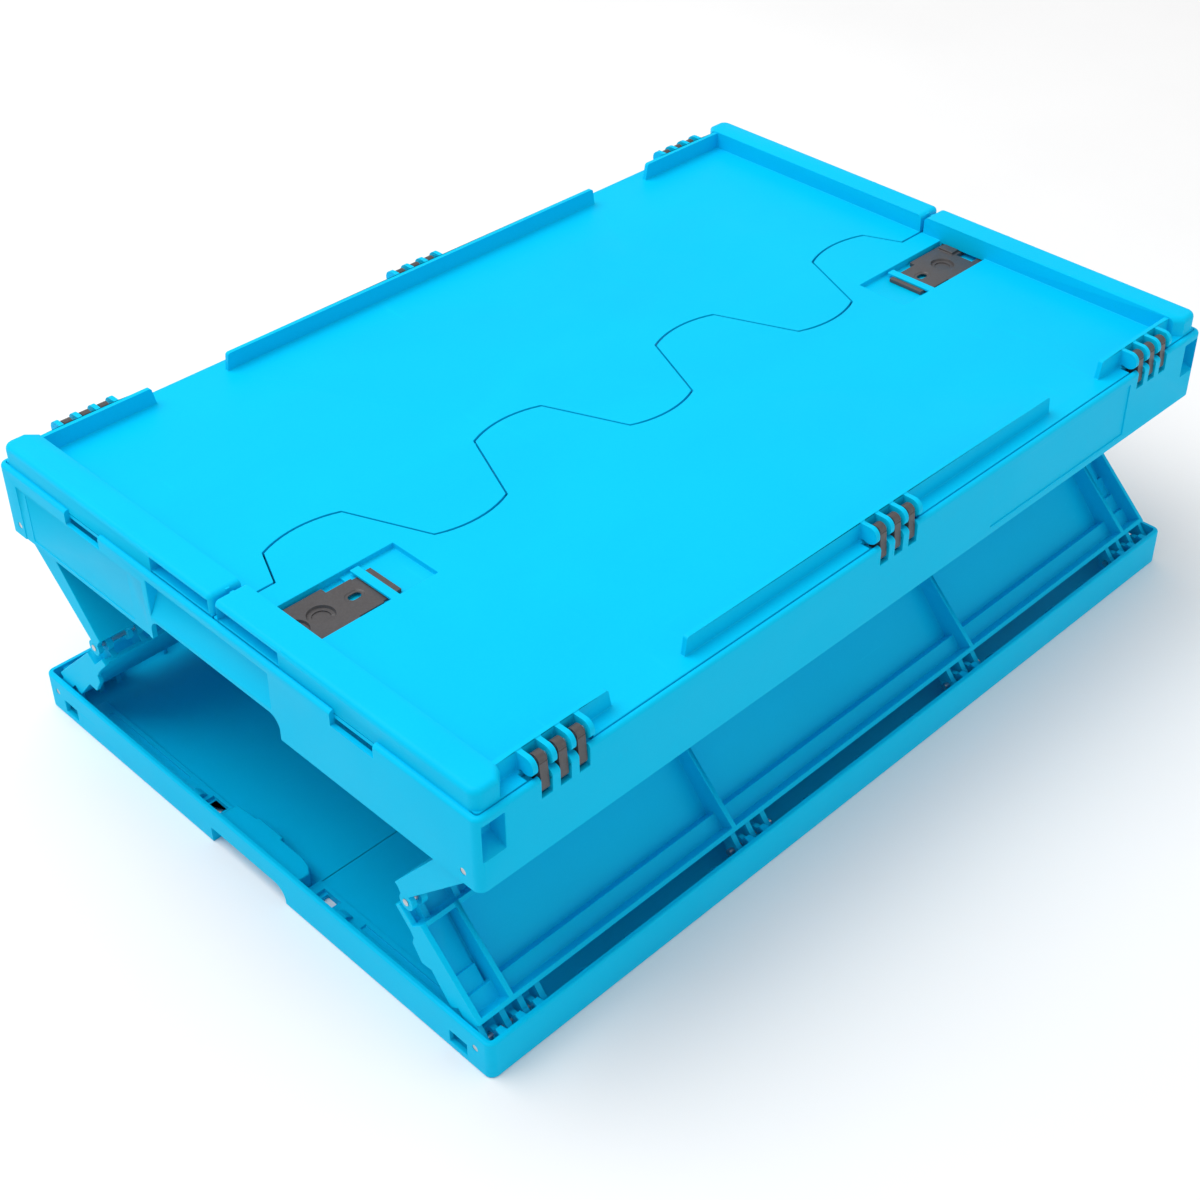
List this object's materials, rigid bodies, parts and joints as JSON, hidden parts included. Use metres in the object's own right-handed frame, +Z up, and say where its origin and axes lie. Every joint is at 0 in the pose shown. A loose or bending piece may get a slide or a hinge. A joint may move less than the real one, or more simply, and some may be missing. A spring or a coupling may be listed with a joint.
{
  "type": "folding stacking crate",
  "caption": "Folding plastic crate with concertina side walls, stowed end walls and a two-leaf interlocking hinged lid, shown half folded.",
  "frame": {"origin": "centre of the underside of the base", "axes": "+X along the long side, +Y towards the back long side, +Z up"},
  "size_m": [0.6, 0.4, 0.1915],
  "materials": {
    "crate_blue": "satin, light grain",
    "fitting_grey": "satin",
    "pin_steel": "drawn"
  },
  "bodies": {
    "base": {"base_tray": "crate_blue", "front_base_pins": "pin_steel", "back_base_pins": "pin_steel"},
    "front_lower": {"front_lower_panel": "crate_blue", "front_mid_pins": "pin_steel"},
    "front_upper": {"front_upper_panel": "crate_blue"},
    "frame": {"upper_frame": "crate_blue", "front_frame_pins": "pin_steel", "back_frame_pins": "pin_steel", "left_end_wall_pins": "pin_steel", "right_end_wall_pins": "pin_steel", "front_clip_pin_left": "pin_steel", "front_clip_pin_middle": "pin_steel", "front_clip_pin_right": "pin_steel", "back_clip_pin_left": "pin_steel", "back_clip_pin_middle": "pin_steel", "back_clip_pin_right": "pin_steel"},
    "back_lower": {"back_lower_panel": "crate_blue", "back_mid_pins": "pin_steel"},
    "back_upper": {"back_upper_panel": "crate_blue"},
    "front_links": {"front_clip_left_1": "fitting_grey", "front_clip_left_2": "fitting_grey", "front_clip_left_3": "fitting_grey", "front_clip_middle_1": "fitting_grey", "front_clip_middle_2": "fitting_grey", "front_clip_middle_3": "fitting_grey", "front_clip_right_1": "fitting_grey", "front_clip_right_2": "fitting_grey", "front_clip_right_3": "fitting_grey", "front_lid_pin_left": "pin_steel", "front_lid_pin_middle": "pin_steel", "front_lid_pin_right": "pin_steel"},
    "back_links": {"back_clip_left_1": "fitting_grey", "back_clip_left_2": "fitting_grey", "back_clip_left_3": "fitting_grey", "back_clip_middle_1": "fitting_grey", "back_clip_middle_2": "fitting_grey", "back_clip_middle_3": "fitting_grey", "back_clip_right_1": "fitting_grey", "back_clip_right_2": "fitting_grey", "back_clip_right_3": "fitting_grey", "back_lid_pin_left": "pin_steel", "back_lid_pin_middle": "pin_steel", "back_lid_pin_right": "pin_steel"},
    "front_lid": {"front_lid_leaf": "crate_blue"},
    "back_lid": {"back_lid_leaf": "crate_blue"},
    "left_latch": {"left_latch_slide": "fitting_grey"},
    "right_latch": {"right_latch_slide": "fitting_grey"},
    "left_end": {"left_end_wall": "crate_blue"},
    "right_end": {"right_end_wall": "crate_blue"}
  },
  "joints": [
    {"name": "fold", "type": "hinge", "parent": "base", "child": "front_lower", "pos_m": [0, -0.1885, 0.0155], "axis": [-1, 0, 0], "range_deg": [-39.3, 44.2]},
    {"name": "front_mid_pivot", "type": "hinge", "parent": "front_lower", "child": "front_upper", "pos_m": [0, -0.13751, 0.07779], "axis": [1, 0, 0], "range_deg": [-79.6, 89.4]},
    {"name": "front_top_pivot", "type": "hinge", "parent": "front_upper", "child": "frame", "pos_m": [0, -0.1885, 0.14009], "axis": [-1, 0, 0], "range_deg": [-40.3, 45.2]},
    {"name": "back_base_pivot", "type": "hinge", "parent": "base", "child": "back_lower", "pos_m": [0, 0.1885, 0.0155], "axis": [1, 0, 0], "range_deg": [-40.3, 45.2]},
    {"name": "back_mid_pivot", "type": "hinge", "parent": "back_lower", "child": "back_upper", "pos_m": [0, 0.13751, 0.07779], "axis": [-1, 0, 0], "range_deg": [-79.6, 89.4]},
    {"name": "front_clip_swing", "type": "hinge", "parent": "frame", "child": "front_links", "pos_m": [0, -0.1942, 0.17129], "axis": [1, 0, 0], "range_deg": [0, 76]},
    {"name": "front_leaf", "type": "hinge", "parent": "front_links", "child": "front_lid", "pos_m": [0, -0.194, 0.18529], "axis": [1, 0, 0], "range_deg": [0, 150]},
    {"name": "back_clip_swing", "type": "hinge", "parent": "frame", "child": "back_links", "pos_m": [0, 0.1942, 0.17129], "axis": [-1, 0, 0], "range_deg": [0, 76]},
    {"name": "back_leaf", "type": "hinge", "parent": "back_links", "child": "back_lid", "pos_m": [0, 0.194, 0.18529], "axis": [-1, 0, 0], "range_deg": [0, 150]},
    {"name": "left_latch_slide", "type": "slide", "parent": "front_lid", "child": "left_latch", "axis": [1, 0, 0], "range_m": [0, 0.012]},
    {"name": "right_latch_slide", "type": "slide", "parent": "front_lid", "child": "right_latch", "axis": [-1, 0, 0], "range_m": [0, 0.012]},
    {"name": "left_end_wall_pivot", "type": "hinge", "parent": "frame", "child": "left_end", "pos_m": [-0.286, 0, 0.16299], "axis": [0, 1, 0], "range_deg": [0, 2]},
    {"name": "right_end_wall_pivot", "type": "hinge", "parent": "frame", "child": "right_end", "pos_m": [0.286, 0, 0.16299], "axis": [0, -1, 0], "range_deg": [0, 2]}
  ],
  "couplings": [
    {"joint": "front_mid_pivot", "follows": "fold", "ratio": 2},
    {"joint": "front_top_pivot", "follows": "fold", "ratio": 1},
    {"joint": "back_base_pivot", "follows": "fold", "ratio": 1},
    {"joint": "back_mid_pivot", "follows": "fold", "ratio": 2},
    {"joint": "front_clip_swing", "follows": "front_leaf", "ratio": 0.5},
    {"joint": "back_clip_swing", "follows": "back_leaf", "ratio": 0.5}
  ]
}
